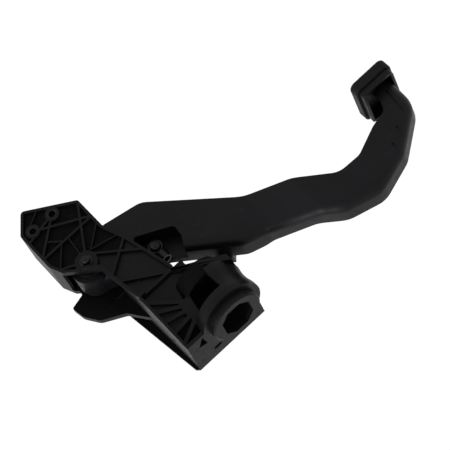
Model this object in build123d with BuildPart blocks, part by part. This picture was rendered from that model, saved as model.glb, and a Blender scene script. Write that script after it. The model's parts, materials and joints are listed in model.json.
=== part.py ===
from build123d import *
import os
from math import cos, hypot, radians, sin

# Clutch pedal with its moulded bearing bracket, in millimetres, pressed down to its floor stop.
# The origin lies on the axis of the bulkhead spigot, in the flange's front face.
# +X points to the car's right, +Y forward to the bulkhead, +Z up. Outlines are in (Y, Z).

# Pivot
pivot_y = -128.0
pivot_z = 62.0
pedal_travel = 26.0
pin_radius = 4.0
pin_head_radius = 7.5
pin_head_height = 3.0
pin_end_length = 5.0
washer_radius = 6.2
washer_thickness = 1.2
sleeve_wall = 2.0
bush_wall = 2.0
bush_depth = 11.0
bush_flange_radius = 13.0
bush_flange_height = 3.2
hub_radius = 18.0
hub_half_width = 13.5
running_fit = 0.05
press_gap = 0.02
seat_gap = 0.3

# Bracket side plates with their rims and ribs
plate_wall = 2.5
rib_height = 3.5
rib_width = 2.2
rim_width = 2.8
plate_corner = 4.0
pivot_boss_radius = 11.0
panel_front = -61.0
panel_rear = -214.5
panel_top = 90.0
panel_low_front = 9.0
panel_low_rear = 28.0
panel_sill = 53.0
arch_rise = 5.0
arch_y = -112.0
rear_nose_z = 72.0
rear_wall_y = -176.0
lobe_rise = 8.0
lobe_reach = 46.0
lip_height = 4.0

# Rear fixing holes, one above the other
fixing_y = -190.0
fixing_low_z = 53.0
fixing_pitch = 24.0
fixing_bore_radius = 3.3
fixing_sleeve_wall = 1.4
fixing_boss_wall = 2.4

# Bulkhead flange and the spigot barrel that takes the clutch cylinder
flange_thickness = 4.0
flange_left = -6.0
flange_right = 42.0
flange_low = -27.0
flange_corner = 5.0
spigot_radius = 27.0
spigot_length = 8.0
spigot_chamfer = 1.5
collar_radius = 33.0
collar_depth = 5.0
waist_radius = 31.5
barrel_rim_radius = 33.0
barrel_rim_depth = 8.0
barrel_length = 36.0
barrel_taper = 8.0
bore_radius = 22.0
port_height = 32.0
port_width = 37.0
port_corner = 9.0
port_wall = 5.0
flange_slot_x = 29.0
flange_slot_z = 27.0
flange_slot_length = 9.0
flange_slot_width = 4.0
rod_clearance = 14.0
window_front = -12.0
window_low = -6.0

# Sloped nose between the side plates and the flange
nose_left = 0.0
nose_rib_depth = 7.0
nose_wall = 2.5
nose_low = 0.0
fan_rib_width = 3.6
fan_y = -24.0
fan_z = 12.0
fan_ends = (-57.0, -45.0, -33.0, -20.0, -7.0)
side_wall_rear = -89.0
side_wall_root = -102.0
side_wall_top = 63.0
side_wall_rise = 3.0
web_rear_left = -103.0
web_rear_right = -95.0

# Pedal arm
arm_wall = 3.0
arm_rib = 2.0
arm_rib_pitch = 44.0
rib_lean = 40.0
arm_edge = 10.0
arm_foot_half_width = 12.0
jog = 27.0
jog_top = -80.0
jog_low = -120.0
jog_round = 15.0
jog_lead = 10.0
stop_edge_top = (-87.0, 4.0)
stop_edge_low = (-39.0, -51.0)
stop_share = 0.67
stop_x = 18.0
stop_lug_depth = 9.0
heel = (-150.0, 26.0)
foot_grooves = (((-40.0, -238.0), (-6.0, -233.0)), ((-5.0, -219.0), (10.0, -218.0)), ((5.0, -205.0), (20.0, -202.0)))
groove_width = 1.6
groove_depth = 1.2
return_share = 0.6

# Pad tray at the foot of the arm, and its rubber cover
tray_rear = -55.0
tray_depth = 13.0
tray_half_width = 25.0
tray_low = -252.0
tray_height = 36.0
tray_corner = 4.5
tray_wall = 2.5
rubber_thickness = 4.0
rubber_lip = 2.2
rubber_lip_depth = 6.0
tread_pitch = 7.0
tread_width = 2.5
tread_depth = 1.6

# Push rod fastening in the arm
rod_y = -101.0
rod_z = 6.0
stud_radius = 4.0
stud_head_radius = 5.5
stud_head_length = 3.0
stud_web = 7.0
clip_wall = 2.6
clip_width = 11.0
socket_radius = 3.6
socket_length = 15.0

# Stop buffers
buffer_radius = 7.0
buffer_height = 5.0
buffer_stem_radius = 3.0
buffer_stem_length = 6.0
stop_boss_wall = 2.0
stop_boss_length = 28.0
return_wall_height = 24.0
return_wall_thickness = 9.0

# Sizes that follow
plate_inner = hub_half_width + bush_flange_height + seat_gap
plate_outer = plate_inner + plate_wall
panel_face = plate_outer + rib_height
sleeve_radius = pin_radius + running_fit + sleeve_wall
hub_bore_radius = sleeve_radius + running_fit + bush_wall
fixing_sleeve_radius = fixing_bore_radius + fixing_sleeve_wall
foot_x = -jog
tray_middle = (foot_x, tray_low + tray_height / 2)
stop_boss_radius = buffer_radius + stop_boss_wall


def turned(point, angle):
    """A (Y, Z) point after the pedal has turned about its pivot."""
    swing = radians(angle)
    across = point[0] - pivot_y
    up = point[1] - pivot_z
    return (pivot_y + across * cos(swing) - up * sin(swing), pivot_z + across * sin(swing) + up * cos(swing))


def edge_plane(start, end, share, angle, across=0.0):
    """Plane on an edge of the arm, its normal pointing out of the arm, after the arm has turned."""
    start = turned(start, angle)
    end = turned(end, angle)
    along = (end[0] - start[0], end[1] - start[1])
    middle = (start[0] + share * along[0], start[1] + share * along[1])
    return Plane(origin=(across, middle[0], middle[1]), x_dir=(1, 0, 0), z_dir=(0, -along[1], along[0]))


hub_back = (pivot_y - hub_radius, pivot_z)
hub_front = (pivot_y + hub_radius, pivot_z)
arm_stop = edge_plane(stop_edge_top, stop_edge_low, stop_share, 0, stop_x)
floor_stop = arm_stop.offset(seat_gap)
return_stop = edge_plane(heel, hub_back, 1 - return_share, -pedal_travel).offset(seat_gap)

os.makedirs("parts", exist_ok=True)

# Outline of the left side plate: a long tail, an arch over the pivot and a sill to the nose
with BuildSketch() as left_face:
    with BuildLine():
        Polyline(
            (panel_front, panel_low_front),
            (pivot_y + 9, panel_low_front + 11),
            (pivot_y - 17, panel_low_rear),
            (panel_rear + 32, panel_low_rear - 1),
            (panel_rear, rear_nose_z),
            (panel_rear + 20, panel_top - 1.5),
            (pivot_y - 22, panel_top),
            (pivot_y - 8, panel_top - 5),
            (arch_y, panel_sill + arch_rise),
            (panel_front, panel_sill),
            close=True,
        )
    make_face()
    fillet(left_face.vertices(), plate_corner)

# The right side plate has a rounded lobe over the pivot instead of the arch
with BuildSketch() as right_face:
    add(left_face.sketch)
    with BuildLine():
        FilletPolyline(
            (pivot_y - 22, panel_top - lobe_rise),
            (pivot_y, panel_top - lobe_rise),
            (pivot_y + 4, panel_top + lobe_rise),
            (pivot_y + 18, panel_top + 0.8 * lobe_rise),
            (pivot_y + 33, panel_top - lobe_rise / 4),
            (pivot_y + lobe_reach, pivot_z + lobe_rise / 2),
            (panel_front, panel_sill),
            (pivot_y - 22, panel_sill),
            radius=[0, 2, 2, 12, 10, 6, 0, 0],
            close=True,
        )
    make_face()

# Planes of the nose's two sloped walls: local x runs forward, local y up, the normal inward or outward
slope = Plane(
    origin=(-panel_face, panel_front, 0),
    x_dir=(nose_left + panel_face, -panel_front, 0),
    z_dir=(-panel_front, -(nose_left + panel_face), 0),
)
slope_length = hypot(nose_left + panel_face, panel_front)
side_wall_x = flange_right - nose_wall
step = Plane(
    origin=(plate_inner, side_wall_root, 0),
    x_dir=(flange_right - plate_inner, side_wall_rear - side_wall_root, 0),
    z_dir=(side_wall_rear - side_wall_root, plate_inner - flange_right, 0),
)
step_length = hypot(flange_right - plate_inner, side_wall_rear - side_wall_root)


def nose_x(y):
    """X of the fan ribs' front faces at the given Y."""
    return nose_left - (nose_left + panel_face) * y / panel_front


def along_slope(y):
    """Distance along the left sloped wall of a point at the given Y."""
    return (panel_front - y) / panel_front * slope_length


with BuildPart() as bracket:
    # Side plates
    with BuildSketch(Plane.YZ.offset(-plate_outer)):
        add(left_face.sketch)
    extrude(amount=plate_wall)
    with BuildSketch(Plane.YZ.offset(plate_inner)):
        add(right_face.sketch)
    extrude(amount=plate_wall)

    # Rims, lattice ribs and the ring round the pivot stand out from both plates
    for plane, face in ((Plane.YZ.offset(-panel_face), left_face), (Plane.YZ.offset(plate_outer), right_face)):
        with BuildSketch(plane):
            add(face.sketch)
            offset(amount=-rim_width, mode=Mode.SUBTRACT)
        extrude(amount=rib_height)
        with BuildSketch(plane):
            with BuildLine():
                Line((pivot_y - 5, panel_sill + 3), (pivot_y + 32, panel_low_front + 6))
                Line((pivot_y + 6, panel_low_front + 11), (pivot_y + 31, panel_sill + 4))
                Line((pivot_y + 37, panel_sill + 3), (panel_front - 4, panel_low_front + 11))
                Line((pivot_y - 32, panel_low_rear), (pivot_y - 32, panel_top))
                Line((pivot_y, pivot_z), (pivot_y - 15, panel_top))
                Line((pivot_y, pivot_z), (pivot_y - 54, panel_low_rear))
                Line((pivot_y - 32, panel_low_rear), (fixing_y, fixing_low_z + fixing_pitch))
                Line((fixing_y, fixing_low_z), (pivot_y - 32, panel_top))
                Line((fixing_y, fixing_low_z), (fixing_y + 8, panel_top))
            trace(line_width=rib_width)
            with Locations((pivot_y, pivot_z)):
                Circle(pivot_boss_radius)
            add(face.sketch, mode=Mode.INTERSECT)
        extrude(amount=rib_height)

    # Rear box and top web tie the plates together
    with BuildSketch(Plane.YZ.offset(-plate_inner)):
        add(left_face.sketch)
        offset(amount=-rim_width, mode=Mode.SUBTRACT)
        with BuildLine():
            Polyline(
                (panel_rear, panel_top),
                (pivot_y - 10, panel_top),
                (pivot_y - 10, rear_nose_z),
                (rear_wall_y, rear_nose_z),
                (rear_wall_y, panel_low_rear),
                (panel_rear, panel_low_rear),
                close=True,
            )
        make_face(mode=Mode.INTERSECT)
    extrude(amount=2 * plate_inner)

    # Wall behind the return stop
    with BuildSketch(return_stop.offset(buffer_height)):
        Rectangle(2 * plate_inner, return_wall_height)
    extrude(amount=return_wall_thickness)

    # Turned-out lip along the arch and the sill
    with BuildSketch(Plane.YZ.offset(-panel_face - lip_height)):
        add(left_face.sketch)
        offset(amount=-rim_width, mode=Mode.SUBTRACT)
        with Locations((panel_front, panel_sill + arch_rise)):
            Rectangle(2 * (panel_front - pivot_y), 4 * arch_rise + 2 * rim_width, mode=Mode.INTERSECT)
    extrude(amount=lip_height)

    # Sloped nose: inner wall on the left, fan of ribs in front of it, wall on the right, top web
    with BuildSketch(slope.offset(nose_rib_depth)):
        with Locations((-nose_wall, nose_low)):
            Rectangle(slope_length + nose_wall, panel_sill - nose_low, align=Align.MIN)
    extrude(amount=nose_wall)
    with BuildSketch(slope):
        with BuildLine():
            for fan_end in fan_ends:
                Line((along_slope(fan_y), fan_z), (along_slope(fan_end), panel_sill))
        trace(line_width=fan_rib_width)
        with Locations((0, nose_low)):
            Rectangle(slope_length, panel_sill - nose_low, align=Align.MIN, mode=Mode.INTERSECT)
    extrude(amount=nose_rib_depth + nose_wall)
    with BuildSketch(Plane.YZ.offset(side_wall_x)):
        with BuildLine():
            Polyline(
                (side_wall_rear, panel_low_front + 2 * rim_width),
                (panel_front, panel_low_front),
                (0, flange_low),
                (0, panel_sill),
                (-side_wall_rise, panel_sill + side_wall_rise),
                (side_wall_rear, side_wall_top),
                close=True,
            )
        make_face()
    extrude(amount=nose_wall)
    with BuildSketch(step):
        with Locations((0, panel_low_front + 2 * rim_width)):
            Rectangle(step_length, side_wall_top - panel_low_front - 2 * rim_width, align=Align.MIN)
    extrude(amount=-nose_wall)
    with BuildSketch(Plane.XY.offset(panel_sill - rim_width)):
        with BuildLine():
            Polyline(
                (-panel_face - lip_height, panel_front),
                (nose_left - lip_height, 0),
                (flange_right, 0),
                (flange_right, side_wall_rear),
                (plate_inner, side_wall_root),
                (plate_inner, web_rear_right),
                (-plate_outer, web_rear_left),
                (-plate_outer, panel_front),
                close=True,
            )
        make_face()
    extrude(amount=rim_width)

    # Sloped floor of the nose, from the side plates down to the barrel, open for the push rod
    with BuildPart(mode=Mode.PRIVATE) as nose_floor:
        with BuildSketch(Plane.YZ.offset(-panel_face)):
            with BuildLine():
                Polyline(
                    (panel_front, panel_low_front),
                    (-barrel_length, -waist_radius),
                    (barrel_rim_depth - barrel_length, -waist_radius),
                    (panel_front, panel_low_front + 2 * nose_wall),
                    close=True,
                )
            make_face()
        extrude(amount=panel_face + flange_right)
        with BuildSketch(Plane.XY.offset(-collar_radius)):
            with BuildLine():
                Polyline(
                    (-panel_face, panel_front),
                    (nose_left - spigot_radius, -barrel_length),
                    (nose_left - bore_radius, barrel_rim_depth - barrel_length),
                    (flange_right, barrel_rim_depth - barrel_length),
                    (flange_right, panel_front),
                    close=True,
                )
            make_face()
        extrude(amount=2 * collar_radius, mode=Mode.INTERSECT)
        with BuildSketch(Plane.XZ.offset(-panel_front)):
            Circle(rod_clearance)
        extrude(amount=2 * panel_front, mode=Mode.SUBTRACT)
    add(nose_floor.part)

    # Bulkhead flange
    with BuildSketch(Plane.XZ) as flange:
        with Locations((flange_left, flange_low)):
            Rectangle(flange_right - flange_left, panel_sill - flange_low, align=Align.MIN)
        fillet(flange.vertices().group_by(Axis.Y)[0].sort_by(Axis.X)[-1], flange_corner)
    extrude(amount=flange_thickness)

    # Floor stop boss under the barrel's rear rim
    with BuildSketch(floor_stop.offset(buffer_height)):
        Circle(stop_boss_radius)
    extrude(amount=stop_boss_length)

    # Spigot barrel, turned about its own axis
    with BuildSketch(Plane.XY):
        with BuildLine():
            Polyline(
                (0, -barrel_length),
                (barrel_rim_radius, -barrel_length),
                (barrel_rim_radius, barrel_rim_depth - barrel_length),
                (waist_radius, barrel_rim_depth + barrel_taper - barrel_length),
                (waist_radius, -collar_depth - barrel_taper),
                (collar_radius, -collar_depth),
                (collar_radius, 0),
                (spigot_radius, 0),
                (spigot_radius, spigot_length - spigot_chamfer),
                (spigot_radius - spigot_chamfer, spigot_length),
                (0, spigot_length),
                close=True,
            )
        make_face()
    revolve(axis=Axis.Y)

    # Window into the bore behind the collar, between the fan ribs and the floor of the nose
    with BuildSketch(Plane.XY.offset(window_low)):
        with BuildLine():
            Polyline(
                (-collar_radius - nose_wall, -barrel_length - nose_wall),
                (-collar_radius - nose_wall, window_front),
                (nose_x(window_front), window_front),
                (nose_x(-barrel_length - nose_wall), -barrel_length - nose_wall),
                close=True,
            )
        make_face()
    extrude(amount=collar_radius - window_low, mode=Mode.SUBTRACT)

    # Bore, open to the rear, and the eight-sided port in its front wall
    with BuildSketch(Plane.XZ.offset(port_wall - spigot_length)):
        Circle(bore_radius)
    extrude(amount=barrel_length + spigot_length + buffer_height, mode=Mode.SUBTRACT)
    with BuildSketch(Plane.XZ.offset(-spigot_length)) as port:
        Rectangle(port_width, port_height)
        chamfer(port.vertices(), port_corner)
    extrude(amount=spigot_length, mode=Mode.SUBTRACT)

    # Moulding slot and three-sided pocket in the flange
    with BuildSketch(Plane.XZ):
        with Locations((flange_slot_x, flange_slot_z)):
            SlotOverall(flange_slot_length, flange_slot_width, rotation=90)
        with BuildLine():
            Polyline(
                (nose_left - 4, collar_radius + 3),
                (nose_left + 8, collar_radius + 10),
                (nose_left + 11, collar_radius + 1),
                close=True,
            )
        make_face()
    extrude(amount=flange_thickness, mode=Mode.SUBTRACT)

    # Rear fixing bosses, pivot hole and seats of the stop buffers
    with BuildSketch(Plane.YZ.offset(-panel_face)):
        with Locations((fixing_y, fixing_low_z), (fixing_y, fixing_low_z + fixing_pitch)):
            Circle(fixing_sleeve_radius + press_gap + fixing_boss_wall)
    extrude(amount=2 * panel_face)
    with BuildSketch(Plane.YZ.offset(-panel_face)):
        with Locations((fixing_y, fixing_low_z), (fixing_y, fixing_low_z + fixing_pitch)):
            Circle(fixing_sleeve_radius + press_gap)
        with Locations((pivot_y, pivot_z)):
            Circle(pin_radius + running_fit)
    extrude(amount=2 * panel_face, mode=Mode.SUBTRACT)
    for stop in (floor_stop, return_stop):
        with BuildSketch(stop.offset(buffer_height)):
            Circle(buffer_stem_radius + press_gap)
        extrude(amount=buffer_stem_length + seat_gap, mode=Mode.SUBTRACT)

bracket.part.label = "bracket"
export_step(bracket.part, "parts/bracket.step")

# Side outline of the arm, from the hub down to the pad tray
with BuildSketch() as arm_side:
    with BuildLine():
        FilletPolyline(
            hub_back,
            heel,
            (-141, -13),
            (-68, -86),
            (-10, -153),
            (-9, -177),
            (-21, -205),
            (-25, -223),
            (tray_rear + tray_wall, tray_low + tray_height / 2),
            (tray_rear + tray_wall, tray_low + tray_wall),
            (-13, -247),
            (18, -206),
            (31, -167),
            (20, -131),
            (-31, -74),
            stop_edge_low,
            stop_edge_top,
            hub_front,
            radius=[0, 12, 20, 60, 20, 15, 20, 8, 0, 0, 25, 20, 25, 30, 25, 20, 12, 0],
            close=True,
        )
    make_face()
    with Locations((pivot_y, pivot_z)):
        Circle(hub_radius)


def arm_front(left_inset, right_reach):
    """Front outline of the arm in (X, Z), with its sideways jog above the foot."""
    top = pivot_z + hub_radius
    left = -hub_half_width + left_inset
    right = hub_half_width + right_reach
    foot_left = foot_x - arm_foot_half_width + left_inset
    foot_right = foot_x + arm_foot_half_width + right_reach
    return FilletPolyline(
        (left, top),
        (left, jog_top),
        (foot_left, jog_low),
        (foot_left, tray_low),
        (foot_right, tray_low),
        (foot_right, jog_low + jog_lead),
        (right, jog_top + jog_lead),
        (right, top),
        radius=[0, jog_round, jog_round, 0, 0, jog_round, jog_round, 0],
        close=True,
    )


arm_reach = jog + 2 * hub_half_width
arm_depth = -2 * (panel_rear + tray_low)
arm_rib_count = 2 * int(arm_depth / arm_rib_pitch / 2) + 1

# Corner of the arm that is cut away for the push rod, open to the left and to the front
with BuildSketch() as rod_pocket:
    with BuildLine():
        FilletPolyline(
            (rod_y - 17, rod_z + 8),
            (rod_y + 2, rod_z - 25),
            (rod_y + 15, rod_z - 23),
            (rod_y + 45, rod_z - 4),
            (rod_y + 16, rod_z + 24),
            (rod_y - 4, rod_z + 24),
            radius=[0, 5, 5, 0, 0, 0],
            close=True,
        )
    make_face()

# Hollow of the arm, open to the right and crossed by diagonal ribs
with BuildPart() as arm_hollow:
    for edge_inset, left_inset in ((arm_wall, arm_edge), (arm_edge, arm_wall)):
        with BuildPart(mode=Mode.PRIVATE) as cells:
            with BuildSketch(Plane.YZ.offset(-arm_reach)):
                add(arm_side.sketch)
                offset(amount=-edge_inset, mode=Mode.REPLACE)
                with Locations((pivot_y, pivot_z)):
                    Circle(hub_radius, mode=Mode.SUBTRACT)
                with Locations((tray_rear + tray_depth, tray_low)):
                    Rectangle(2 * tray_depth, 2 * tray_height, mode=Mode.SUBTRACT)
                for lean in (-rib_lean, rib_lean):
                    with GridLocations(0, arm_rib_pitch, 1, arm_rib_count):
                        Rectangle(arm_depth, arm_rib, rotation=lean, mode=Mode.SUBTRACT)
            extrude(amount=2 * arm_reach)
            with BuildSketch(Plane.XZ.offset(-arm_depth / 2)):
                with BuildLine():
                    arm_front(left_inset, 4 * arm_wall)
                make_face()
            extrude(amount=arm_depth, mode=Mode.INTERSECT)
        add(cells.part)
    with BuildSketch(Plane.YZ.offset(-arm_reach)):
        add(rod_pocket.sketch)
        offset(amount=arm_wall)
    extrude(amount=2 * arm_reach, mode=Mode.SUBTRACT)

# Tray that carries the pad, open to the front
with BuildPart() as pad_tray:
    with BuildSketch(Plane.XZ.offset(-tray_rear - tray_depth)):
        with Locations(tray_middle):
            RectangleRounded(2 * tray_half_width, tray_height, tray_corner)
    extrude(amount=tray_depth)
    with BuildSketch(Plane.XZ.offset(-tray_rear - tray_depth)):
        with Locations(tray_middle):
            RectangleRounded(
                2 * (tray_half_width - tray_wall), tray_height - 2 * tray_wall, tray_corner - tray_wall
            )
    extrude(amount=tray_depth - tray_wall, mode=Mode.SUBTRACT)

with BuildPart() as pedal_arm:
    with BuildSketch(Plane.YZ.offset(-arm_reach)):
        add(arm_side.sketch)
    extrude(amount=2 * arm_reach)
    with BuildSketch(Plane.XZ.offset(-arm_depth / 2)):
        with BuildLine():
            arm_front(0, 0)
        make_face()
    extrude(amount=arm_depth, mode=Mode.INTERSECT)
    left_faces = pedal_arm.faces().filter_by(lambda face: face.normal_at().X < -0.5)
    forward_faces = pedal_arm.faces().filter_by(lambda face: face.normal_at().Y > 0.1)
    corner_edges = left_faces.edges() & forward_faces.edges()
    fillet(corner_edges.sort_by(Axis.Z, reverse=True), arm_edge)
    add(arm_hollow.part, mode=Mode.SUBTRACT)
    with BuildSketch(Plane.YZ.offset(hub_half_width - stud_web)):
        add(rod_pocket.sketch)
    extrude(amount=-arm_reach, mode=Mode.SUBTRACT)
    with BuildSketch(arm_stop):
        Rectangle(2 * stop_boss_radius, 2 * stop_boss_radius)
    extrude(amount=-stop_lug_depth)
    with BuildSketch(Plane.YZ.offset(foot_x - arm_foot_half_width)):
        with BuildLine():
            for groove_start, groove_end in foot_grooves:
                Line(groove_start, groove_end)
        trace(line_width=groove_width)
    extrude(amount=groove_depth, mode=Mode.SUBTRACT)
    add(pad_tray.part)
    with BuildSketch(Plane.YZ.offset(-hub_half_width)):
        with Locations((pivot_y, pivot_z)):
            Circle(hub_bore_radius + press_gap)
    extrude(amount=2 * hub_half_width, mode=Mode.SUBTRACT)
    with BuildSketch(Plane.YZ.offset(hub_half_width - stud_web)):
        with Locations((rod_y, rod_z)):
            Circle(stud_radius + press_gap)
    extrude(amount=stud_web, mode=Mode.SUBTRACT)
pedal_arm.part.label = "pedal_arm"
export_step(pedal_arm.part, "parts/pedal_arm.step")

# Rubber cover: a ribbed tread with a lip that wraps round the tray
tread_rear = tray_rear - seat_gap - rubber_thickness
cover_half_width = tray_half_width + seat_gap + rubber_lip
cover_height = tray_height + 2 * (seat_gap + rubber_lip)
tread_count = int((tray_height - tray_corner) / tread_pitch)
with BuildPart() as pad_rubber:
    with BuildSketch(Plane.XZ.offset(-tread_rear)):
        with Locations(tray_middle):
            RectangleRounded(2 * cover_half_width, cover_height, tray_corner + seat_gap + rubber_lip)
    extrude(amount=-(rubber_thickness + seat_gap + rubber_lip_depth))
    fillet(pad_rubber.faces().sort_by(Axis.Y)[0].edges(), rubber_lip)
    with BuildSketch(Plane.XZ.offset(-tray_rear + seat_gap)):
        with Locations(tray_middle):
            RectangleRounded(2 * (tray_half_width + seat_gap), tray_height + 2 * seat_gap, tray_corner + seat_gap)
    extrude(amount=-(seat_gap + rubber_lip_depth), mode=Mode.SUBTRACT)
    with BuildSketch(Plane.XZ.offset(-tread_rear)):
        with Locations(tray_middle):
            with GridLocations(0, tread_pitch, 1, tread_count):
                SlotOverall(2 * (tray_half_width - tray_wall), tread_width)
    extrude(amount=-tread_depth, mode=Mode.SUBTRACT)
pad_rubber.part.label = "pad_rubber"
export_step(pad_rubber.part, "parts/pad_rubber.step")

# Pivot pin: headed on the right, held by a push-on washer on the left
with BuildPart() as pivot_pin:
    with BuildSketch(Plane.YZ.offset(-panel_face - pin_end_length)):
        with Locations((pivot_y, pivot_z)):
            Circle(pin_radius)
    extrude(amount=2 * panel_face + pin_end_length + seat_gap)
    chamfer(pivot_pin.edges().sort_by(Axis.X)[0], pin_radius / 5)
    with BuildSketch(Plane.YZ.offset(panel_face)):
        with Locations((pivot_y, pivot_z)):
            Circle(pin_head_radius)
    extrude(amount=pin_head_height)
    fillet(pivot_pin.faces().sort_by(Axis.X)[-1].edges(), pin_head_height / 3)
pivot_pin.part.label = "pivot_pin"
export_step(pivot_pin.part, "parts/pivot_pin.step")

with BuildPart() as star_washer:
    with BuildSketch(Plane.YZ.offset(-panel_face - washer_thickness)):
        with Locations((pivot_y, pivot_z)):
            Circle(washer_radius)
            Circle(pin_radius + press_gap, mode=Mode.SUBTRACT)
            with PolarLocations(pin_radius, 6):
                Rectangle(2 * washer_thickness, washer_thickness, mode=Mode.SUBTRACT)
    extrude(amount=washer_thickness)
star_washer.part.label = "star_washer"
export_step(star_washer.part, "parts/star_washer.step")

# Steel sleeve clamped between the side plates, on which the bushes turn
with BuildPart() as pivot_sleeve:
    with BuildSketch(Plane.YZ.offset(-plate_inner + running_fit)):
        with Locations((pivot_y, pivot_z)):
            Circle(sleeve_radius)
            Circle(pin_radius + running_fit, mode=Mode.SUBTRACT)
    extrude(amount=2 * (plate_inner - running_fit))
pivot_sleeve.part.label = "pivot_sleeve"
export_step(pivot_sleeve.part, "parts/pivot_sleeve.step")

# Flanged bushes, one pressed into each end of the hub
for side, bush_name in ((-1, "bush_left"), (1, "bush_right")):
    with BuildPart() as bush:
        with BuildSketch(Plane.YZ.offset(side * hub_half_width)):
            with Locations((pivot_y, pivot_z)):
                Circle(bush_flange_radius)
        extrude(amount=side * bush_flange_height)
        with BuildSketch(Plane.YZ.offset(side * hub_half_width)):
            with Locations((pivot_y, pivot_z)):
                Circle(hub_bore_radius)
        extrude(amount=-side * bush_depth)
        with BuildSketch(Plane.YZ.offset(side * (hub_half_width + bush_flange_height))):
            with Locations((pivot_y, pivot_z)):
                Circle(sleeve_radius + running_fit)
        extrude(amount=-side * (bush_depth + bush_flange_height), mode=Mode.SUBTRACT)
    bush.part.label = bush_name
    export_step(bush.part, "parts/" + bush_name + ".step")

# Steel stud for the push rod, pressed into the arm's web, with a domed head on its free end
stud_head = hub_half_width - stud_web - clip_width - seat_gap
with BuildPart() as push_rod_stud:
    with BuildSketch(Plane.YZ.offset(hub_half_width)):
        with Locations((rod_y, rod_z)):
            Circle(stud_radius)
    extrude(amount=-(stud_web + clip_width + 2 * seat_gap))
    with BuildSketch(Plane.YZ.offset(stud_head - seat_gap)):
        with Locations((rod_y, rod_z)):
            Circle(stud_head_radius)
    extrude(amount=-stud_head_length)
    fillet(push_rod_stud.faces().sort_by(Axis.X)[0].edges(), stud_head_length * 0.7)
push_rod_stud.part.label = "push_rod_stud"
export_step(push_rod_stud.part, "parts/push_rod_stud.step")

# Plastic clip on the stud, its socket facing the barrel for the rod's ball end
clip_radius = stud_radius + seat_gap + clip_wall
clip_middle = hub_half_width - stud_web - seat_gap - clip_width / 2
with BuildPart() as push_rod_clip:
    with BuildSketch(Plane.YZ.offset(clip_middle - clip_width / 2)):
        with Locations((rod_y, rod_z)):
            Circle(clip_radius)
    extrude(amount=clip_width)
    with BuildSketch(Plane(origin=(clip_middle, rod_y, rod_z), x_dir=(1, 0, 0), z_dir=(0, 1, 0))):
        Circle(clip_width / 2)
    extrude(amount=socket_length)
    with BuildSketch(Plane.YZ.offset(clip_middle - clip_width / 2)):
        with Locations((rod_y, rod_z)):
            Circle(stud_radius + running_fit)
    extrude(amount=clip_width, mode=Mode.SUBTRACT)
    with BuildSketch(Plane(origin=(clip_middle, rod_y + clip_radius, rod_z), x_dir=(1, 0, 0), z_dir=(0, 1, 0))):
        Circle(socket_radius)
    extrude(amount=socket_length, mode=Mode.SUBTRACT)
push_rod_clip.part.label = "push_rod_clip"
export_step(push_rod_clip.part, "parts/push_rod_clip.step")

# Rubber stop buffers, each a chamfered head with a stem in the bracket
for stop, buffer_name in ((floor_stop, "floor_stop_buffer"), (return_stop, "return_stop_buffer")):
    with BuildPart() as stop_buffer:
        with BuildSketch(stop):
            Circle(buffer_radius)
        extrude(amount=buffer_height)
        chamfer(stop_buffer.edges(), buffer_height / 5)
        with BuildSketch(stop.offset(buffer_height)):
            Circle(buffer_stem_radius)
        extrude(amount=buffer_stem_length)
    stop_buffer.part.label = buffer_name
    export_step(stop_buffer.part, "parts/" + buffer_name + ".step")

# Steel sleeves in the two rear fixing holes
with BuildPart() as fixing_sleeves:
    with BuildSketch(Plane.YZ.offset(-panel_face)):
        with Locations((fixing_y, fixing_low_z), (fixing_y, fixing_low_z + fixing_pitch)):
            Circle(fixing_sleeve_radius)
            Circle(fixing_bore_radius, mode=Mode.SUBTRACT)
    extrude(amount=2 * panel_face)
fixing_sleeves.part.label = "fixing_sleeves"
export_step(fixing_sleeves.part, "parts/fixing_sleeves.step")
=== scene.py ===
import json
from math import radians
import bmesh
import bpy
import numpy as np
from mathutils import Matrix, Vector
from mathutils.bvhtree import BVHTree


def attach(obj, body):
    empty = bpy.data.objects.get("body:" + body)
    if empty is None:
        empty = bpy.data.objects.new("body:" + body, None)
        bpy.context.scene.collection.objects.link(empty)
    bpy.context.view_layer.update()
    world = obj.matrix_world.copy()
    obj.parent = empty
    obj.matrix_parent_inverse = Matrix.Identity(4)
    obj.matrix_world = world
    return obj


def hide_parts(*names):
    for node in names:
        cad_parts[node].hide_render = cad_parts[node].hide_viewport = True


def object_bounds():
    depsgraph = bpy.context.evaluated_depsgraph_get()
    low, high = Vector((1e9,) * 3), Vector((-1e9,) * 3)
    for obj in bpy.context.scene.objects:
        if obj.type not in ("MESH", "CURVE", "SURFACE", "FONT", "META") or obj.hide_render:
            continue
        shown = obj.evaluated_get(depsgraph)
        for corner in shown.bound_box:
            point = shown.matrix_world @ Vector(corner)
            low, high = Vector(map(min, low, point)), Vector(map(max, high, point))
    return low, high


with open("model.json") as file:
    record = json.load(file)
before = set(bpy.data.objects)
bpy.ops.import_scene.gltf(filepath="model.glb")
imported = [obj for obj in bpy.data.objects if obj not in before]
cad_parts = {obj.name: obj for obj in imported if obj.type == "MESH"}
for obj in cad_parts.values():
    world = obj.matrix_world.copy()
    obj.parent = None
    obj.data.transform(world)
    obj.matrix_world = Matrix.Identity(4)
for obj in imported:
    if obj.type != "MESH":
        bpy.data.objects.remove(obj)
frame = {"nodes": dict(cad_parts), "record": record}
cadLow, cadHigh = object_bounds()
nodes = frame["nodes"]
mm = 0.001
print("frame loaded:", len(nodes), "pieces")


# shader helpers: the first starts a material, and each of the others adds one node and returns its output

def newMaterial(name):
    material = bpy.data.materials.new(name)
    material.use_nodes = True
    tree = material.node_tree
    coords = tree.nodes.new("ShaderNodeTexCoord")
    return material, tree, tree.nodes["Principled BSDF"], coords.outputs["Object"]


def stretched(tree, vector, scale):
    node = tree.nodes.new("ShaderNodeMapping")
    node.inputs["Scale"].default_value = scale
    tree.links.new(vector, node.inputs["Vector"])
    return node.outputs["Vector"]


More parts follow.
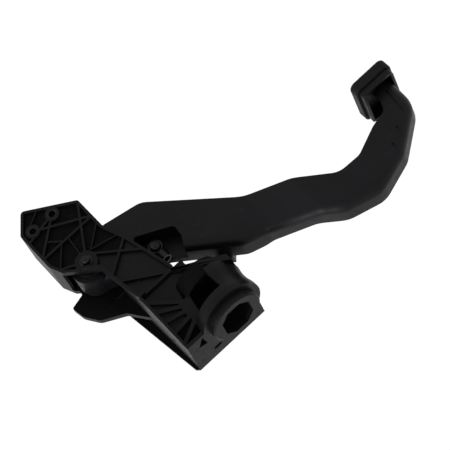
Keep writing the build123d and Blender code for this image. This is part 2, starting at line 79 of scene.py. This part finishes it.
def noise(tree, vector, scale, detail=4.0, roughness=0.55):
    node = tree.nodes.new("ShaderNodeTexNoise")
    node.inputs["Scale"].default_value = scale
    node.inputs["Detail"].default_value = detail
    node.inputs["Roughness"].default_value = roughness
    tree.links.new(vector, node.inputs["Vector"])
    return node.outputs["Fac"]


def cells(tree, vector, scale):
    node = tree.nodes.new("ShaderNodeTexVoronoi")
    node.inputs["Scale"].default_value = scale
    tree.links.new(vector, node.inputs["Vector"])
    return node.outputs["Distance"]


def spread(tree, value, low, high, fromLow=0.0, fromHigh=1.0):
    node = tree.nodes.new("ShaderNodeMapRange")
    node.inputs["From Min"].default_value = fromLow
    node.inputs["From Max"].default_value = fromHigh
    node.inputs["To Min"].default_value = low
    node.inputs["To Max"].default_value = high
    tree.links.new(value, node.inputs["Value"])
    return node.outputs["Result"]


def combined(tree, first, second, operation="ADD"):
    node = tree.nodes.new("ShaderNodeMath")
    node.operation = operation
    tree.links.new(first, node.inputs[0])
    tree.links.new(second, node.inputs[1])
    return node.outputs["Value"]


def shade(tree, value, dark, light, start=0.3, end=0.7):
    node = tree.nodes.new("ShaderNodeValToRGB")
    first, last = node.color_ramp.elements
    first.position, last.position = start, end
    first.color, last.color = (*dark, 1.0), (*light, 1.0)
    tree.links.new(value, node.inputs["Fac"])
    return node.outputs["Color"]


def relief(tree, height, strength, depth, under=None):
    node = tree.nodes.new("ShaderNodeBump")
    node.inputs["Strength"].default_value = strength
    node.inputs["Distance"].default_value = depth
    tree.links.new(height, node.inputs["Height"])
    if under is not None:
        tree.links.new(under, node.inputs["Normal"])
    return node.outputs["Normal"]


# moulded plastic: slow flow marks, fine eroded grain, and thin pale rubs along the part
def mouldedPlastic(name, settings):
    material, tree, shader, coords = newMaterial(name)
    flow = noise(tree, coords, settings["flowScale"], detail=5.0, roughness=0.6)
    alongPart = stretched(tree, coords, settings["rubStretch"])
    rubs = noise(tree, alongPart, settings["rubScale"], detail=3.0, roughness=0.6)
    rubMask = spread(tree, rubs, 0.0, settings["rubStrength"], fromLow=0.62, fromHigh=0.72)
    tone = combined(tree, flow, rubMask)
    colour = shade(tree, tone, settings["dark"], settings["light"], start=0.3, end=1.0)
    tree.links.new(colour, shader.inputs["Base Color"])
    mottle = noise(tree, coords, settings["mottleScale"], detail=6.0, roughness=0.7)
    skinRoughness = spread(tree, mottle, *settings["roughness"], fromLow=0.3, fromHigh=0.7)
    rubRoughness = spread(tree, rubs, 0.0, 0.12, fromLow=0.6, fromHigh=0.75)
    tree.links.new(combined(tree, skinRoughness, rubRoughness), shader.inputs["Roughness"])
    waves = relief(tree, flow, strength=0.2, depth=0.35 * mm)
    grain = noise(tree, coords, settings["grainScale"], detail=2.0, roughness=0.5)
    skin = relief(tree, grain, settings["grainStrength"], settings["grainDepth"], under=waves)
    tree.links.new(skin, shader.inputs["Normal"])
    shader.inputs["Specular IOR Level"].default_value = settings["specular"]
    return material


# rubber: pebbled skin with a dusty bloom on it, polished round the spot where the shoe treads
def pebbledRubber(name, settings):
    material, tree, shader, coords = newMaterial(name)
    bloom = noise(tree, coords, settings["bloomScale"], detail=6.0, roughness=0.65)
    fromTread = tree.nodes.new("ShaderNodeVectorMath")
    fromTread.operation = "DISTANCE"
    fromTread.inputs[1].default_value = settings["treadCentre"]
    tree.links.new(coords, fromTread.inputs[0])
    # full polish within a fifth of the tread's reach, fading to none at its end
    full, gone = 0.2 * settings["treadReach"], settings["treadReach"]
    polish = spread(tree, fromTread.outputs["Value"], settings["polish"], 0.0, fromLow=full, fromHigh=gone)
    tone = combined(tree, bloom, polish)
    tree.links.new(shade(tree, tone, settings["dark"], settings["light"]), shader.inputs["Base Color"])
    dull = spread(tree, bloom, *settings["roughness"], fromLow=0.3, fromHigh=0.7)
    tree.links.new(combined(tree, dull, polish, "SUBTRACT"), shader.inputs["Roughness"])
    pebbles = cells(tree, coords, settings["pebbleScale"])
    skin = relief(tree, pebbles, settings["pebbleStrength"], settings["pebbleDepth"])
    tree.links.new(skin, shader.inputs["Normal"])
    shader.inputs["Specular IOR Level"].default_value = settings["specular"]
    return material


# black zinc on steel: cloudy plating over fine turning lines
def platedSteel(name, settings):
    material, tree, shader, coords = newMaterial(name)
    cloud = noise(tree, coords, settings["cloudScale"], detail=5.0, roughness=0.6)
    tree.links.new(shade(tree, cloud, settings["dark"], settings["light"]), shader.inputs["Base Color"])
    turned = stretched(tree, coords, settings["lineStretch"])
    lines = noise(tree, turned, settings["lineScale"], detail=3.0, roughness=0.6)
    satin = spread(tree, lines, *settings["roughness"], fromLow=0.3, fromHigh=0.7)
    tree.links.new(satin, shader.inputs["Roughness"])
    tree.links.new(relief(tree, lines, strength=0.25, depth=settings["lineDepth"]), shader.inputs["Normal"])
    shader.inputs["Metallic"].default_value = 1.0
    return material


bracketFinish = {
    "dark": (0.0025, 0.0024, 0.0031), "light": (0.0094, 0.0090, 0.0108), "flowScale": 26.0,
    "rubStretch": (1.0, 0.12, 0.35), "rubScale": 420.0, "rubStrength": 0.5,
    "mottleScale": 170.0, "roughness": (0.34, 0.52), "specular": 0.12,
    "grainScale": 1900.0, "grainStrength": 0.32, "grainDepth": 0.06 * mm,
}
# coarse core side: darker and less glossy than the skin, as painted shade on recessed faces
coarseShadeFinish = {
    "dark": (0.0014, 0.0014, 0.0016), "light": (0.0060, 0.0060, 0.0066), "flowScale": 34.0,
    "rubStretch": (1.0, 0.3, 0.3), "rubScale": 300.0, "rubStrength": 0.2,
    "mottleScale": 240.0, "roughness": (0.62, 0.80), "specular": 0.07,
    "grainScale": 1200.0, "grainStrength": 0.5, "grainDepth": 0.12 * mm,
}
# worn edges: paler and glossier than the skin, real wear together with a painted highlight
wornHighlightFinish = {
    "dark": (0.0060, 0.0060, 0.0064), "light": (0.0200, 0.0200, 0.0208), "flowScale": 90.0,
    "rubStretch": (1.0, 0.4, 0.4), "rubScale": 700.0, "rubStrength": 0.6,
    "mottleScale": 320.0, "roughness": (0.26, 0.46), "specular": 0.2,
    "grainScale": 2400.0, "grainStrength": 0.15, "grainDepth": 0.03 * mm,
}
armFinish = {
    "dark": (0.0028, 0.0026, 0.0036), "light": (0.0098, 0.0092, 0.0118), "flowScale": 20.0,
    "rubStretch": (1.0, 0.35, 0.12), "rubScale": 380.0, "rubStrength": 0.5,
    "mottleScale": 150.0, "roughness": (0.36, 0.50), "specular": 0.14,
    "grainScale": 2300.0, "grainStrength": 0.26, "grainDepth": 0.05 * mm,
}
acetalFinish = {
    "dark": (0.004, 0.004, 0.0042), "light": (0.012, 0.012, 0.0126), "flowScale": 40.0,
    "rubStretch": (0.3, 1.0, 1.0), "rubScale": 500.0, "rubStrength": 0.4,
    "mottleScale": 260.0, "roughness": (0.28, 0.42), "specular": 0.2,
    "grainScale": 2600.0, "grainStrength": 0.15, "grainDepth": 0.03 * mm,
}
padFinish = {
    "dark": (0.0030, 0.0030, 0.0030), "light": (0.0110, 0.0110, 0.0107), "bloomScale": 45.0,
    "roughness": (0.52, 0.72), "specular": 0.14,
    "pebbleScale": 1100.0, "pebbleStrength": 0.35, "pebbleDepth": 0.12 * mm,
    "treadCentre": (-0.028, -0.058, -0.234), "treadReach": 0.028, "polish": 0.16,
}
bufferFinish = {
    "dark": (0.0030, 0.0030, 0.0030), "light": (0.0100, 0.0100, 0.0100), "bloomScale": 90.0,
    "roughness": (0.58, 0.78), "specular": 0.12,
    "pebbleScale": 1600.0, "pebbleStrength": 0.3, "pebbleDepth": 0.08 * mm,
    "treadCentre": (0.018, -0.065, -0.025), "treadReach": 0.006, "polish": 0.1,
}
zincFinish = {
    "dark": (0.012, 0.012, 0.013), "light": (0.030, 0.030, 0.031), "cloudScale": 120.0,
    "lineStretch": (1.0, 0.1, 0.1), "lineScale": 1500.0, "lineDepth": 0.04 * mm, "roughness": (0.30, 0.46),
}
finishes = {
    "bracket_plastic": mouldedPlastic("bracketPlastic", bracketFinish),
    "arm_plastic": mouldedPlastic("armPlastic", armFinish),
    "bush_plastic": mouldedPlastic("bushAcetal", acetalFinish),
    "clip_plastic": mouldedPlastic("clipAcetal", acetalFinish),
    "pad_rubber": pebbledRubber("padRubber", padFinish),
    "buffer_rubber": pebbledRubber("bufferRubber", bufferFinish),
    "steel": platedSteel("blackZinc", zincFinish),
}
coarseShadePlastic = mouldedPlastic("coarseShadePlastic", coarseShadeFinish)  # the mould's coarse core side, darker and duller: painted shade in recesses
wornHighlightPlastic = mouldedPlastic("wornHighlightPlastic", wornHighlightFinish)  # edges rubbed a little paler: real wear together with a painted highlight
slotOf = {row["node"]: row["material_slot"] for row in frame["record"]["subparts"]}
for nodeName, node in nodes.items():
    node.data.materials.clear()
    node.data.materials.append(finishes[slotOf[nodeName]])
print("finishes:", len(finishes))

# where the bracket's coarse faces lie, and how they face; their darker colour is painted shade
bracketZones = {
    "panelX": -19.5 * mm, "panelWithin": 0.4 * mm, "panelFront": -118 * mm,
    "boreReach": 22 * mm, "boreRear": -40 * mm,
    "leftward": -0.9, "inward": -0.4,  # a face's normal goes at least this far that way
}


# the bracket's coarse faces, darker and duller as painted shade, each found by where it lies and faces:
# rear panel cells between the ribs, the right wall seen from within, and the bore inside the barrel
def coarseShadeOnBracket(centres, normals):
    zones = bracketZones
    x, y, z = centres.T
    leftward = normals[:, 0] < zones["leftward"]
    onPanel = abs(x - zones["panelX"]) < zones["panelWithin"]
    rearCells = leftward & onPanel & (y < zones["panelFront"])
    innerWall = leftward & (x > 0)
    fromAxis = np.hypot(x, z)
    inward = x * normals[:, 0] + z * normals[:, 2] < zones["inward"] * fromAxis
    bore = inward & (fromAxis < zones["boreReach"]) & (y > zones["boreRear"])
    return rearCells | innerWall | bore


def coarseShadeNowhere(centres, normals):
    return np.zeros(len(centres), dtype=bool)


padSkin = finishes["pad_rubber"]
# moulded edges aren't knife sharp: a merged copy of the node gets a narrow rounded bevel
mouldedEdges = {
    "bracket": {"body": "bracket", "width": 0.45 * mm, "coarseShade": coarseShadeOnBracket, "edge": wornHighlightPlastic},
    "pedal_arm": {"body": "pedal", "width": 0.6 * mm, "coarseShade": coarseShadeNowhere, "edge": wornHighlightPlastic},
    "pad_rubber": {"body": "pedal", "width": 0.5 * mm, "coarseShade": coarseShadeNowhere, "edge": padSkin},
}
# bevel values shared by the three pieces, angles in degrees
edgeBevel = {"mergeWithin": 0.002 * mm, "flatBelow": 0.5, "smoothBelow": 28, "bevelAbove": 32, "segments": 2}


def roundEdges(nodeName, settings):
    mesh = nodes[nodeName].data.copy()
    mesh.name = nodeName + "Rounded"
    shell = bmesh.new()
    shell.from_mesh(mesh)
    bmesh.ops.remove_doubles(shell, verts=shell.verts, dist=edgeBevel["mergeWithin"])
    flat = radians(edgeBevel["flatBelow"])
    bmesh.ops.dissolve_limit(shell, angle_limit=flat, verts=shell.verts, edges=shell.edges)
    shell.to_mesh(mesh)
    shell.free()
    if "custom_normal" in mesh.attributes:
        mesh.attributes.remove(mesh.attributes["custom_normal"])
    mesh.shade_smooth()
    mesh.set_sharp_from_angle(angle=radians(edgeBevel["smoothBelow"]))
    count = len(mesh.polygons)
    centres, normals = np.empty(count * 3), np.empty(count * 3)
    mesh.polygons.foreach_get("center", centres)
    mesh.polygons.foreach_get("normal", normals)
    coarseShade = settings["coarseShade"](centres.reshape(-1, 3), normals.reshape(-1, 3))
    # slot 2 is the coarse finish, darker as painted shade on these faces
    mesh.polygons.foreach_set("material_index", np.where(coarseShade, 2, 0))
    mesh.materials.append(settings["edge"])
    mesh.materials.append(coarseShadePlastic)
    piece = bpy.data.objects.new(nodeName + "Rounded", mesh)
    bpy.context.collection.objects.link(piece)
    bevel = piece.modifiers.new("moulded edge", "BEVEL")
    bevel.width = settings["width"]
    bevel.segments = edgeBevel["segments"]
    bevel.limit_method = "ANGLE"
    bevel.angle_limit = radians(edgeBevel["bevelAbove"])
    bevel.harden_normals = True
    bevel.material = 1  # the worn edge finish with its painted highlight; 0 is the node's own and 2 the coarse one with painted shade
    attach(piece, settings["body"])
    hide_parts(nodeName)
    return piece


rounded = {nodeName: roundEdges(nodeName, settings) for nodeName, settings in mouldedEdges.items()}
print("rounded edges:", ", ".join(rounded))


# links a finished mesh as a piece that rides a body
def addPiece(name, mesh, body):
    piece = bpy.data.objects.new(name, mesh)
    bpy.context.collection.objects.link(piece)
    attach(piece, body)


# turns a closed mesh's faces outwards and shades it, sharp only at its real edges
def pointOutwards(mesh, sharpAbove=40):
    shell = bmesh.new()
    shell.from_mesh(mesh)
    bmesh.ops.recalc_face_normals(shell, faces=shell.faces)
    shell.to_mesh(mesh)
    shell.free()
    mesh.shade_smooth()
    mesh.set_sharp_from_angle(angle=radians(sharpAbove))


# light stiffening ribs in the left panel's rear cells, each given by its two ends in (Y, Z), in millimetres
panelRibs = {
    "height": 3.3 * mm, "width": 1.5 * mm, "sink": 0.2 * mm, "squareness": 0.35, "steps": 8, "corners": 15,
    "lines": [
        ((-172, 75), (-160, 63)), ((-160, 66), (-140, 84)), ((-160, 58), (-139, 61)),
        ((-205, 59), (-197, 74)), ((-152, 29), (-134, 52)), ((-134, 50), (-127, 24)),
    ],
}


# a rib's cross-section is the upper half of a superellipse, nearly square with soft corners;
# it is carried in a straight line from end to end, its foot sunk in the panel
def standRibs(name, settings):
    ends = np.array(settings["lines"]) * mm
    run = ends[:, 1] - ends[:, 0]
    side = np.stack([-run[:, 1], run[:, 0]], -1) / np.linalg.norm(run, axis=1, keepdims=True)
    steps, corners = settings["steps"], settings["corners"]
    angle = np.linspace(0, np.pi, corners)
    across = settings["width"] / 2 * np.sign(np.cos(angle)) * abs(np.cos(angle)) ** settings["squareness"]
    tall = settings["height"] * np.sin(angle) ** settings["squareness"]
    tall[[0, -1]] = -settings["sink"]
    share = np.linspace(0, 1, steps)
    flat = (ends[:, None, None, 0] + run[:, None, None] * share[:, None, None]
            + side[:, None, None] * across[:, None])
    out = np.broadcast_to(bracketZones["panelX"] - tall, flat.shape[:3])
    points = np.concatenate([out[..., None], flat], -1).reshape(-1, 3)
    counts = np.arange(len(ends)), np.arange(steps - 1), np.arange(corners)
    rib, step, corner = np.meshgrid(*counts, indexing="ij")
    first = (rib * steps + step) * corners
    following = (corner + 1) % corners
    walls = np.stack([first + corner, first + following,
                      first + corners + following, first + corners + corner], -1)
    starts = np.arange(len(ends))[:, None] * steps * corners + np.arange(corners)
    caps = np.concatenate([starts, starts + (steps - 1) * corners])
    mesh = bpy.data.meshes.new(name)
    mesh.from_pydata(points.tolist(), [], walls.reshape(-1, 4).tolist() + caps.tolist())
    pointOutwards(mesh)
    mesh.materials.append(finishes[slotOf["bracket"]])
    addPiece(name, mesh, "bracket")


standRibs("panelRibs", panelRibs)
print("panel ribs:", len(panelRibs["lines"]))


# the barrel's thin rear skirt, from the barrel to the nose's rear wall, with a lip round the push rod's way;
# each radius is that of the wall's middle
barrelSkirt = {
    "tube": {"front": -34.5 * mm, "rear": -51.8 * mm, "radius": 23.2 * mm, "wall": 2.0 * mm},
    "lip": {"front": -49.6 * mm, "rear": -51.8 * mm, "radius": 15.9 * mm, "wall": 14.8 * mm},
}
# powers of the section's superellipse: small ones make it square
skirtSection = {"turns": 96, "corners": 36, "endPower": 0.3, "sidePower": 0.6}


# a ring about the Y axis: its cross-section is a long superellipse, flat-sided with round ends
def turnSkirt(name, settings):
    turns, corners = skirtSection["turns"], skirtSection["corners"]
    angle = np.arange(corners) * 2 * np.pi / corners
    lengthwise = np.sign(np.cos(angle)) * abs(np.cos(angle)) ** skirtSection["endPower"]
    outwards = np.sign(np.sin(angle)) * abs(np.sin(angle)) ** skirtSection["sidePower"]
    halfLength = (settings["front"] - settings["rear"]) / 2
    y = settings["rear"] + halfLength + halfLength * lengthwise
    radius = settings["radius"] + settings["wall"] / 2 * outwards
    turn = np.arange(turns)[:, None] * 2 * np.pi / turns
    points = np.stack([radius * np.cos(turn), np.broadcast_to(y, (turns, corners)), radius * np.sin(turn)], -1)
    row, column = np.meshgrid(np.arange(turns), np.arange(corners), indexing="ij")
    nextRow, nextColumn = (row + 1) % turns, (column + 1) % corners
    faces = np.stack([row * corners + column, row * corners + nextColumn,
                      nextRow * corners + nextColumn, nextRow * corners + column], -1).reshape(-1, 4)
    mesh = bpy.data.meshes.new(name)
    mesh.from_pydata(points.reshape(-1, 3).tolist(), [], faces.tolist())
    pointOutwards(mesh)
    # the skirt wears the darker coarse finish, which is painted shade
    mesh.materials.append(coarseShadePlastic)
    addPiece(name, mesh, "bracket")


turnSkirt("barrelSkirt", barrelSkirt["tube"])
turnSkirt("barrelSkirtLip", barrelSkirt["lip"])
print("barrel skirt:", len(barrelSkirt), "rings")


# the mould's marks: ejector pins leave discs with a raised rim, and the gate leaves a low broken stub;
# each spot is a point off the part and the way from there to the skin
fromLeft, fromRight, fromFront, fromAbove = (1, 0, 0), (-1, 0, 0), (0, -1, 0), (0, 0, -1)
mouldMarks = {
    "panelEjectorMarks": {
        "node": "bracket", "body": "bracket", "finish": coarseShadePlastic,
        "radius": 2.4 * mm, "rimWidth": 0.3 * mm, "rise": 0.22 * mm, "lift": 0.03 * mm,
        "spots": [
            ((-0.2, -0.182, 0.044), fromLeft), ((-0.2, -0.168, 0.055), fromLeft),
            ((-0.2, -0.150, 0.067), fromLeft),
        ],
    },
    "wallEjectorMarks": {
        "node": "bracket", "body": "bracket", "finish": finishes["bracket_plastic"],
        "radius": 2.4 * mm, "rimWidth": 0.3 * mm, "rise": 0.22 * mm, "lift": 0.03 * mm,
        "spots": [
            ((-0.2, -0.076, 0.042), fromLeft),
            ((0.2, -0.182, 0.044), fromRight), ((0.2, -0.150, 0.067), fromRight),
            ((0.034, 0.2, -0.020), fromFront), ((0.010, 0.2, 0.045), fromFront),
            ((0.034, 0.2, 0.045), fromFront),
        ],
    },
    "armEjectorMarks": {
        "node": "pedal_arm", "body": "pedal", "finish": finishes["arm_plastic"],
        "radius": 2.0 * mm, "rimWidth": 0.28 * mm, "rise": 0.2 * mm, "lift": 0.03 * mm,
        "spots": [
            ((0.2, -0.096, -0.020), fromRight), ((0.2, -0.072, -0.052), fromRight),
            ((0.2, -0.040, -0.088), fromRight), ((0.2, -0.008, -0.122), fromRight),
            ((0.2, 0.012, -0.160), fromRight), ((0.2, 0.002, -0.200), fromRight),
        ],
    },
    "armGateStub": {
        "node": "pedal_arm", "body": "pedal", "finish": finishes["arm_plastic"],
        "radius": 1.6 * mm, "rimWidth": 0.5 * mm, "rise": 0.35 * mm, "lift": 0.15 * mm,
        "spots": [((-0.2, -0.052, -0.062), fromLeft)],
    },
    "bracketGateStub": {
        "node": "bracket", "body": "bracket", "finish": finishes["bracket_plastic"],
        "radius": 1.8 * mm, "rimWidth": 0.6 * mm, "rise": 0.4 * mm, "lift": 0.2 * mm,
        "spots": [((0.020, -0.030, 0.3), fromAbove)],
    },
}
# innermost and outermost ring as shares of a mark's radius
markGrid = {"rings": 9, "turns": 28, "innermost": 0.25, "outermost": 1.15, "dip": 0.1 * mm}


# a disc turned about the skin's normal: its height is a small lift plus a bell curve that peaks at the rim,
# and its outermost ring dips under the skin
def turnMarks(name, settings):
    source = nodes[settings["node"]].data
    points = np.empty(len(source.vertices) * 3)
    source.vertices.foreach_get("co", points)
    triangles = [tuple(face.vertices) for face in source.polygons]
    skin = BVHTree.FromPolygons(points.reshape(-1, 3).tolist(), triangles)
    hits = [skin.ray_cast(Vector(start), Vector(direction))[:2] for start, direction in settings["spots"]]
    places = np.array([tuple(place) for place, normal in hits])
    outward = np.array([tuple(normal) for place, normal in hits])
    upright = np.where(abs(outward[:, 2:]) < 0.9, (0.0, 0.0, 1.0), (0.0, 1.0, 0.0))  # never along the normal
    across = np.cross(upright, outward)
    across /= np.linalg.norm(across, axis=1, keepdims=True)
    along = np.cross(outward, across)
    rings, turns = markGrid["rings"], markGrid["turns"]
    radius = np.linspace(markGrid["innermost"], markGrid["outermost"], rings) * settings["radius"]
    rim = np.exp(-((radius - settings["radius"]) / settings["rimWidth"]) ** 2)
    height = settings["lift"] + settings["rise"] * rim
    height[-1] = -markGrid["dip"]
    angle = np.arange(turns) * 2 * np.pi / turns
    east = (radius[:, None] * np.cos(angle)).ravel()
    north = (radius[:, None] * np.sin(angle)).ravel()
    tall = np.repeat(height, turns)
    discs = (places[:, None] + across[:, None] * east[:, None] + along[:, None] * north[:, None]
             + outward[:, None] * tall[:, None])
    middles = places + outward * settings["lift"]
    marks, size = len(places), rings * turns
    ring, turn = np.meshgrid(np.arange(rings - 1), np.arange(turns), indexing="ij")
    following = (turn + 1) % turns
    quads = np.stack([ring * turns + turn, (ring + 1) * turns + turn,
                      (ring + 1) * turns + following, ring * turns + following], -1).reshape(-1, 4)
    mark, around = np.arange(marks)[:, None], np.arange(turns)
    allQuads = (quads + mark[:, :, None] * size).reshape(-1, 4)
    hubs = np.broadcast_to(marks * size + mark, (marks, turns))
    fans = np.stack([hubs, mark * size + around, mark * size + (around + 1) % turns], -1).reshape(-1, 3)
    mesh = bpy.data.meshes.new(name)
    allPoints = np.concatenate([discs.reshape(-1, 3), middles])
    mesh.from_pydata(allPoints.tolist(), [], allQuads.tolist() + fans.tolist())
    mesh.shade_smooth()
    mesh.materials.append(settings["finish"])
    addPiece(name, mesh, settings["body"])


for markName, settings in mouldMarks.items():
    turnMarks(markName, settings)
print("mould marks:", sum(len(settings["spots"]) for settings in mouldMarks.values()))


# camera fitted to the photograph: rolled so that the car's upward side points down in the picture
view = {
    "right": (0.2403, 0.6416, -0.7284),
    "back": (-0.8687, 0.4769, 0.1335),
    "distance": 2.5,
    "pixelsPerMetre": 1113.5,
    "originPixel": (232.3, 312.2),
    "imageSize": 450.0,
    "sensorWidth": 36.0,
    "clipEnd": 100.0,
}


def setCamera(settings):
    back = Vector(settings["back"]).normalized()
    right = Vector(settings["right"])
    right = (right - back * right.dot(back)).normalized()
    up = back.cross(right)
    camera = bpy.data.cameras.new("camera")
    camera.sensor_width = settings["sensorWidth"]
    camera.sensor_fit = "HORIZONTAL"
    pictureWidth = settings["imageSize"] / settings["pixelsPerMetre"]
    camera.lens = settings["sensorWidth"] * settings["distance"] / pictureWidth
    camera.clip_end = settings["clipEnd"]
    # the picture's middle lies this far from the origin, in the plane that faces the camera
    middle = settings["imageSize"] / 2
    aside, below = [(middle - pixel) / settings["pixelsPerMetre"] for pixel in settings["originPixel"]]
    holder = bpy.data.objects.new("camera", camera)
    bpy.context.collection.objects.link(holder)
    place = Matrix.Translation(right * aside - up * below + back * settings["distance"])
    holder.matrix_world = place @ Matrix((right, up, back)).transposed().to_4x4()
    bpy.context.scene.camera = holder
    return right, up, back


pictureRight, pictureUp, pictureBack = setCamera(view)
print("camera set")


# white studio: even surroundings and two broad, distant lamps, placed by the picture's right, up and back
studio = {
    "worldLight": 0.35,
    "floorDrop": 0.26,
    "floorSize": 60.0,
    "floorColour": (0.60, 0.60, 0.60),
    "floorGlow": 0.52,
    "lampDistance": 2.0,
    "key": {"from": (-0.45, -0.80, 0.40), "strength": 1.7, "spread": 35.0},
    "side": {"from": (0.80, -0.35, 0.50), "strength": 0.7, "spread": 45.0},
}


# 1 for rays that should see the bare background: straight from the camera, mirrored or through glass
def backgroundRay(tree):
    path = tree.nodes.new("ShaderNodeLightPath")
    seen = combined(tree, path.outputs["Is Camera Ray"], path.outputs["Is Glossy Ray"], "MAXIMUM")
    return combined(tree, seen, path.outputs["Is Transmission Ray"], "MAXIMUM")


def setWorld(level):
    world = bpy.data.worlds.new("surroundings")
    bpy.context.scene.world = world
    world.use_nodes = True
    tree = world.node_tree
    background = tree.nodes["Background"]
    background.inputs["Color"].default_value = (1, 1, 1, 1)
    tree.links.new(spread(tree, backgroundRay(tree), level, 1.0), background.inputs["Strength"])


def addLamp(name, settings):
    lamp = bpy.data.lights.new(name, "SUN")
    lamp.energy = settings["strength"]
    lamp.angle = radians(settings["spread"])
    x, y, z = settings["from"]
    direction = (pictureRight * x + pictureUp * y + pictureBack * z).normalized()
    holder = bpy.data.objects.new(name, lamp)
    bpy.context.collection.objects.link(holder)
    holder.location = direction * studio["lampDistance"]
    holder.rotation_euler = direction.to_track_quat("Z", "Y").to_euler()


# the floor is a flat square, well below the pad
def addFloor(settings):
    half = settings["floorSize"] / 2
    corners = np.array([(-1, -1, 0), (1, -1, 0), (1, 1, 0), (-1, 1, 0)]) * half
    corners[:, 2] = cadLow[2] - settings["floorDrop"]
    mesh = bpy.data.meshes.new("floor")
    mesh.from_pydata(corners.tolist(), [], [(0, 1, 2, 3)])
    floor = bpy.data.objects.new("floor", mesh)
    bpy.context.collection.objects.link(floor)
    material, tree, shader = newMaterial("floorWhite")[:3]
    shader.inputs["Base Color"].default_value = (*settings["floorColour"], 1)
    shader.inputs["Roughness"].default_value = 0.9
    shader.inputs["Specular IOR Level"].default_value = 0.0
    shader.inputs["Emission Color"].default_value = (1, 1, 1, 1)
    glow = spread(tree, backgroundRay(tree), 0.0, settings["floorGlow"])
    tree.links.new(glow, shader.inputs["Emission Strength"])
    mesh.materials.append(material)


setWorld(studio["worldLight"])
addLamp("keyLamp", studio["key"])
addLamp("sideLamp", studio["side"])
addFloor(studio)
bpy.context.scene.view_settings.view_transform = "Standard"
print("studio set")
